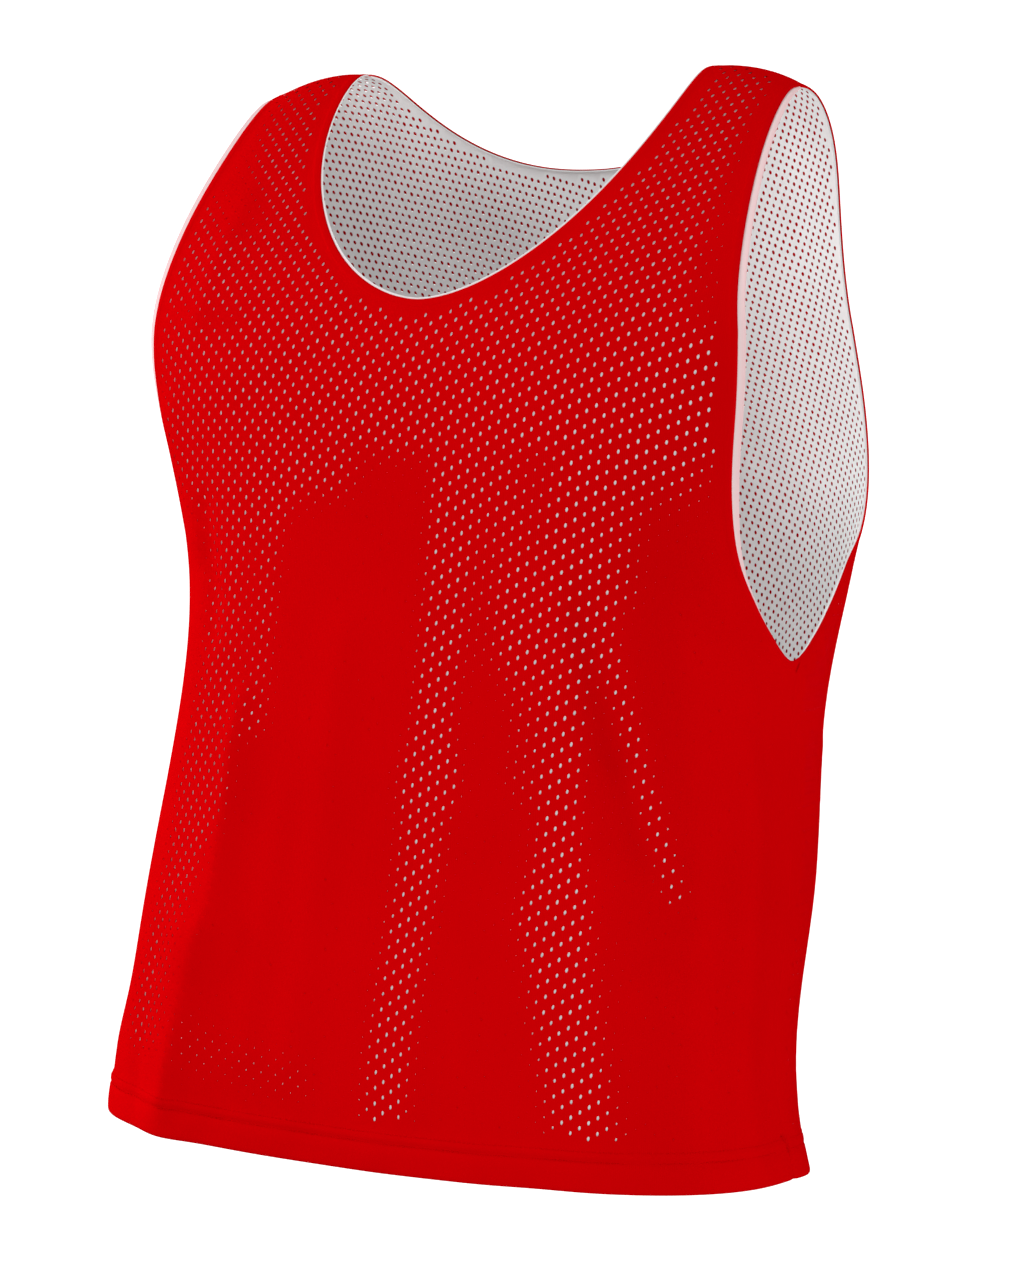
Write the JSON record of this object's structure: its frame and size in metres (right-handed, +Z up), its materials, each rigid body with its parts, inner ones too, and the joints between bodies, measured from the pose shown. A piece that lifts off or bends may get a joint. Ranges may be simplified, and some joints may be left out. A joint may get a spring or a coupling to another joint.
{
  "type": "reversible lacrosse jersey",
  "caption": "Sleeveless two-layer mesh practice jersey, red outside and white inside, with a wide scoop neck, deep armholes and a stitched hem, filled out as if worn.",
  "frame": {"origin": "on the centre line between the two shoulder seams, at the height where the wearer's shoulders hold the jersey up", "axes": "+Z up, the front of the jersey faces -Y, +X is the wearer's left"},
  "size_m": [0.4363, 0.3208, 0.624],
  "materials": {
    "red_mesh": "matt mesh knit polyester, red",
    "white_mesh": "matt mesh knit polyester, white"
  },
  "bodies": {
    "root": {"outer_front": "red_mesh", "outer_back": "red_mesh", "inner_front": "white_mesh", "inner_back": "white_mesh"}
  },
  "joints": []
}
